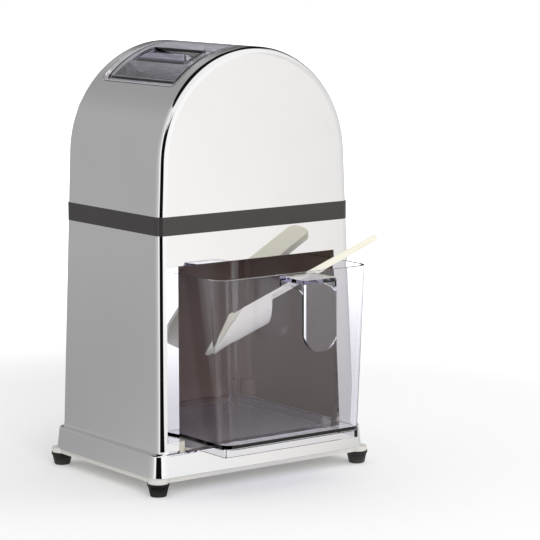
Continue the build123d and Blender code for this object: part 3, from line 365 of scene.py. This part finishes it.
chrome, tree, shader = new_material("bright chrome plate")
shader.inputs["Metallic"].default_value = 1.0
place, wipe, plated, haze = plate(tree, shader)
tree.links.new(haze, shader.inputs["Roughness"])
tree.links.new(plated, shader.inputs["Base Color"])
dress(["base_plinth", "crank_arm", "crank_nut"], chrome)
print("chrome haze from", PLATE_SHARP, "to", PLATE_HAZY)

# %% [markdown]
# ## The lower housing
# Plating only reaches the outside and the cut edges: inside the drawer's opening the bare
# moulding shows as brown plastic. It is painted paler on the left, as painted light where light
# falls on that wall. The same shader does both. A point's depth below the outer faces, worked
# out from the tapered outline, says whether it is plate or bare plastic. The brown is written
# much paler than it looks in the photograph, because little light reaches it here, so it isn't
# the real plastic's colour.

# %% Lower housing, plated outside and bare inside
HOUSING_DRAFT = math.tan(math.radians(1.6))
BAND_PROUD = 0.2 * MM
# Painted light: both inside colours are paler than the plastic, and the left one is paler again
# where light falls on the left wall.
INSIDE_LEFT_PAINTED_LIGHT, INSIDE_RIGHT_PAINTED_LIGHT = "#D6D0C4", "#B59E84"
half_width = (band_high.x - band_low.x) / 2 - BAND_PROUD
half_depth = (band_high.y - band_low.y) / 2 - BAND_PROUD
painted_light_end = -half_width / 3

shell, tree, shader = new_material("chrome plate over brown plastic")
place, wipe, plated, haze = plate(tree, shader)
axes = add(tree, "ShaderNodeSeparateXYZ", links={0: place}).outputs
drop = calculate(tree, "MULTIPLY_ADD", axes["Z"], -HOUSING_DRAFT, HOUSING_DRAFT * band_low.z)
depths = []
for axis, half, middle in (("X", half_width, 0.0), ("Y", half_depth, MIDDLE)):
    away = calculate(tree, "ABSOLUTE", calculate(tree, "SUBTRACT", axes[axis], middle))
    face = calculate(tree, "ADD", drop, half)
    depths.append(calculate(tree, "SUBTRACT", face, away))
# Painted light across the inside: palest at the left wall, browner further right.
painted_light_across = add(tree, "ShaderNodeMapRange", values={1: -half_width, 2: painted_light_end},
             links={0: axes["X"]}).outputs[0]
bare_inside(tree, shader, calculate(tree, "MINIMUM", *depths), plated,
            between(tree, painted_light_across, INSIDE_LEFT_PAINTED_LIGHT, INSIDE_RIGHT_PAINTED_LIGHT), haze)
dress(["lower_housing"], shell)
print("plate reaches in by mm", round(PLATE_REACH / MM, 2))

# %% [markdown]
# ## The upper housing
# No photograph shows the inside of the arch, so pale bare plastic there is a guess. A point's
# depth is how much nearer it is to the arch's axis than the outer skin, or to the middle than
# an end face, whichever is less. This outline is a little smaller than the real one: its step
# is 0.6 mm instead of 0.3 mm, and its rise starts at the top of the band's upper lip. So the
# end walls and the upright sides, where it finds 2.2 and 2.3 mm, stay plated inside, and only
# the curved crown is bare.

# %% Upper housing, plated outside and partly bare inside
ARCH_DRAFT = math.radians(2.5)
OUTLINE_STEP = 0.6 * MM
arch_foot = half_width - OUTLINE_STEP
arch_rise = cad_high.z - band_high.z
arch_radius = ((arch_foot * math.cos(ARCH_DRAFT) - arch_rise * math.sin(ARCH_DRAFT))
               / (1 - math.sin(ARCH_DRAFT)))
arch_axis = cad_high.z - arch_radius
upper_half_depth = half_depth - OUTLINE_STEP

arch, tree, shader = new_material("chrome plate over pale plastic")
place, wipe, plated, haze = plate(tree, shader)
axes = add(tree, "ShaderNodeSeparateXYZ", links={0: place}).outputs
rise = calculate(tree, "SUBTRACT", axes["Z"], arch_axis)
above = calculate(tree, "MAXIMUM", rise, 0.0)
below = calculate(tree, "MINIMUM", rise, 0.0)
side = calculate(tree, "MULTIPLY_ADD", below, math.tan(ARCH_DRAFT),
                 calculate(tree, "ABSOLUTE", axes["X"]))
spoke = add(tree, "ShaderNodeCombineXYZ", links={0: side, 2: above})
reach = add(tree, "ShaderNodeVectorMath", operation="LENGTH", links={0: spoke.outputs[0]})
skin_depth = calculate(tree, "SUBTRACT", arch_radius, reach.outputs["Value"])
away = calculate(tree, "ABSOLUTE", calculate(tree, "SUBTRACT", axes["Y"], MIDDLE))
end_depth = calculate(tree, "SUBTRACT", upper_half_depth, away)
bare_inside(tree, shader, calculate(tree, "MINIMUM", skin_depth, end_depth), plated,
            between(tree, wipe, "#E6E2D4", "#DDD8C8"), haze)
dress(["upper_housing"], arch)
print("arch radius of the mask in mm", round(arch_radius / MM, 2))

# %% [markdown]
# ## Moulded plastics
# Four opaque plastics differ in colour and gloss, and share how they are made: hot plastic
# copies the grain of a spark eroded mould, and flows in faint cloudy streaks. One function
# gives all of them that grain and clouding. Real grain would be too fine for this picture, so
# it is drawn coarser, at about a millimetre.

# %% A function for moulded plastic
# Most of a noise texture's values lie between these two.
NOISE_LOW, NOISE_HIGH = 0.3, 0.7


def moulded(name, colour, cloud, gloss, grain, depth, streak=35 * MM):
    """Opaque moulded plastic: two close colours in clouds, gloss as (low, high) roughness,
    grain size and depth in metres."""
    material, tree, shader = new_material(name)
    place = add(tree, "ShaderNodeTexCoord").outputs["Object"]
    flow = add(tree, "ShaderNodeTexNoise", values={"Scale": 1 / streak, "Detail": 4.0,
                                                   "Distortion": 0.8}, links={"Vector": place})
    tree.links.new(between(tree, flow.outputs[0], colour, cloud), shader.inputs["Base Color"])
    pits = add(tree, "ShaderNodeTexNoise", values={"Scale": 1 / grain, "Detail": 2.0},
               links={"Vector": place})
    bump = add(tree, "ShaderNodeBump", values={"Strength": 1.0, "Distance": depth},
               links={"Height": pits.outputs[0]})
    tree.links.new(bump.outputs[0], shader.inputs["Normal"])
    sheen = add(tree, "ShaderNodeMapRange", links={0: flow.outputs[0]},
                values={1: NOISE_LOW, 2: NOISE_HIGH, 3: gloss[0], 4: gloss[1]})
    tree.links.new(sheen.outputs[0], shader.inputs["Roughness"])
    return material, tree, shader


# Light sinks a few millimetres into cream plastic, red a little further than blue.
CREAM_SCATTER = 0.15
CREAM_SCATTER_REACH = (4 * MM, 3.5 * MM, 2.8 * MM)

band, tree, shader = moulded("satin grey moulded ABS", "#3D3939", "#353131", (0.13, 0.2),
                             0.9 * MM, 0.006 * MM)
dress(["seam_band"], band)
cream, tree, shader = moulded("cream moulded polystyrene", "#F1EEDF", "#EAE6D4", (0.28, 0.42),
                              0.8 * MM, 0.012 * MM)
shader.inputs["Subsurface Weight"].default_value = CREAM_SCATTER
shader.inputs["Subsurface Radius"].default_value = CREAM_SCATTER_REACH
dress(["drawer_tray", "crush_chamber", "hopper", "scoop"], cream)
pale, tree, shader = moulded("pale moulded polypropylene", "#E9E7E2", "#DEDBD4", (0.35, 0.5),
                             1.0 * MM, 0.02 * MM)
dress(["bottom_plate", "front_bush", "rear_bush"], pale)
knob, tree, shader = moulded("black moulded ABS", "#191919", "#131313", (0.3, 0.42),
                             0.9 * MM, 0.03 * MM)
dress(["crank_knob"], knob)
print("moulded plastics", [m.name for m in (band, cream, pale, knob)])

# %% [markdown]
# ## Black rubber feet
# Rubber is duller than plastic, and picks up dust, most of it low down where the foot meets
# the table. A height ramp on the foot mixes in the dust, broken up by noise.

# %% Rubber
FOOT_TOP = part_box("foot_left_front")[1].z
DUST_TOP = 0.7 * FOOT_TOP
DUST_COVER = 0.55
DUST_SPECK = 1.6 * MM
rubber, tree, shader = moulded("black moulded rubber", "#1B1A19", "#141312", (0.5, 0.65),
                               0.7 * MM, 0.05 * MM, streak=6 * MM)
tint = shader.inputs["Base Color"].links[0].from_socket
place = add(tree, "ShaderNodeTexCoord").outputs["Object"]
level = add(tree, "ShaderNodeSeparateXYZ", links={0: place}).outputs["Z"]
low = add(tree, "ShaderNodeMapRange", values={1: 0.0, 2: DUST_TOP, 3: DUST_COVER, 4: 0.0},
          links={0: level})
specks = add(tree, "ShaderNodeTexNoise", values={"Scale": 1 / DUST_SPECK, "Detail": 6.0},
             links={"Vector": place})
dusty = calculate(tree, "MULTIPLY", low.outputs[0], specks.outputs[0])
dust = add(tree, "ShaderNodeMix", data_type="RGBA", values={7: linear("#6B6762")},
           links={0: dusty, 6: tint})
tree.links.new(dust.outputs[2], shader.inputs["Base Color"])
dress([name for name in nodes if name.startswith("foot_") and name != "foot_screws"], rubber)
print("feet are mm tall", round(FOOT_TOP / MM, 2))

# %% [markdown]
# ## Steel inside
# The toothed discs and the comb are stamped from stainless sheet and ground flat, which
# leaves straight fine lines. The shaft, its clip, the spacers, the knob's spindle and the
# comb's screws are turned, which leaves rings. All other screws are zinc plated. All are one
# grey metal, told apart only by the direction and size of their marks. Real grinding lines are
# finer than a pixel here, so they are drawn about 0.5 mm apart.

# %% Ground and turned steel
STEEL_COLOURS = ("#D3D3D4", "#B9B9BC")
STEEL_PATCH = 14 * MM
STEEL_SHARP, STEEL_DULL = 0.2, 0.36


def steel(name, stretch, line, depth):
    """Bare steel whose tool marks are noise stretched by a factor for each axis."""
    material, tree, shader = new_material(name)
    shader.inputs["Metallic"].default_value = 1.0
    place = add(tree, "ShaderNodeTexCoord").outputs["Object"]
    pulled = add(tree, "ShaderNodeMapping", values={"Scale": stretch}, links={"Vector": place})
    marks = add(tree, "ShaderNodeTexNoise", values={"Scale": 1 / line, "Detail": 3.0},
                links={"Vector": pulled.outputs[0]})
    bump = add(tree, "ShaderNodeBump", values={"Strength": 1.0, "Distance": depth},
               links={"Height": marks.outputs[0]})
    tree.links.new(bump.outputs[0], shader.inputs["Normal"])
    patch = add(tree, "ShaderNodeTexNoise", values={"Scale": 1 / STEEL_PATCH, "Detail": 3.0},
                links={"Vector": place})
    tint = between(tree, patch.outputs[0], *STEEL_COLOURS)
    tree.links.new(tint, shader.inputs["Base Color"])
    dull = add(tree, "ShaderNodeMapRange", links={0: marks.outputs[0]},
               values={1: NOISE_LOW, 2: NOISE_HIGH, 3: STEEL_SHARP, 4: STEEL_DULL})
    tree.links.new(dull.outputs[0], shader.inputs["Roughness"])
    return material


ground = steel("ground stainless steel", (1.0, 1.0, 0.06), 0.5 * MM, 0.01 * MM)
dress([name for name in nodes if name.startswith("toothed_disc")] + ["fixed_comb"], ground)
turned = steel("turned steel", (0.08, 1.0, 0.08), 0.45 * MM, 0.008 * MM)
dress([name for name in nodes if name.startswith("disc_spacer")]
      + ["drive_shaft", "shaft_clip", "knob_spindle", "comb_screws"], turned)
zinc = steel("bright zinc plated steel", (0.25, 0.25, 1.0), 0.6 * MM, 0.008 * MM)
dress(["foot_screws", "base_screws", "housing_screws"], zinc)
print("steels", ground.name, turned.name, zinc.name)

# %% [markdown]
# ## Clear plastic
# The lid and the drawer are taken to be styrene acrylonitrile, a clear plastic that is nearly
# colourless through a wall and blue violet along one, where light travels far inside it.
# Light lost on the way, and not a coloured surface, gives that: a volume absorbs a little more
# red and green than blue. How much was chosen. Faint wiping scratches keep the surface from
# being perfect. Light that falls through the plastic onto something behind it passes straight
# on, as it nearly does through a thin wall, so that some light reaches the inside.

# %% Clear plastic
SCRATCH = 1.4 * MM
SCRATCH_DEPTH = 0.0015 * MM
SCRATCH_LOW, SCRATCH_HIGH = 0.55, 0.8
SCRATCH_HAZE = 0.05
CLEAR_BENDING = 1.45
TINT_DENSITY = 70.0
clear, tree, shader = new_material("clear moulded styrene acrylonitrile")
shader.inputs["Base Color"].default_value = linear("#FFFFFF")
shader.inputs["Transmission Weight"].default_value = 1.0
shader.inputs["IOR"].default_value = CLEAR_BENDING
place = add(tree, "ShaderNodeTexCoord").outputs["Object"]
wipes = add(tree, "ShaderNodeMapping", values={"Rotation": (0.5, 0.3, 0.9),
                                               "Scale": (1.0, 0.05, 0.4)},
            links={"Vector": place})
lines = add(tree, "ShaderNodeTexNoise", values={"Scale": 1 / SCRATCH, "Detail": 2.0},
            links={"Vector": wipes.outputs[0]})
bump = add(tree, "ShaderNodeBump", values={"Strength": 1.0, "Distance": SCRATCH_DEPTH},
           links={"Height": lines.outputs[0]})
tree.links.new(bump.outputs[0], shader.inputs["Normal"])
haze = add(tree, "ShaderNodeMapRange", links={0: lines.outputs[0]},
           values={1: SCRATCH_LOW, 2: SCRATCH_HIGH, 3: 0.0, 4: SCRATCH_HAZE})
tree.links.new(haze.outputs[0], shader.inputs["Roughness"])
output = next(node for node in tree.nodes if node.bl_idname == "ShaderNodeOutputMaterial")
tint = add(tree, "ShaderNodeVolumeAbsorption",
           values={"Color": linear("#A4A0C6"), "Density": TINT_DENSITY})
tree.links.new(tint.outputs[0], output.inputs["Volume"])
path = add(tree, "ShaderNodeLightPath")
lighting = calculate(tree, "MAXIMUM", path.outputs["Is Shadow Ray"],
                     path.outputs["Is Diffuse Ray"])
passing = add(tree, "ShaderNodeBsdfTransparent", values={"Color": linear("#F4F4F9")})
both = add(tree, "ShaderNodeMixShader",
           links={0: lighting, 1: shader.outputs[0], 2: passing.outputs[0]})
tree.links.new(both.outputs[0], output.inputs["Surface"])
dress(["lid", "drawer"], clear)
print("tint per metre", TINT_DENSITY)

# %% Colour settings
bpy.context.scene.view_settings.view_transform = "Standard"
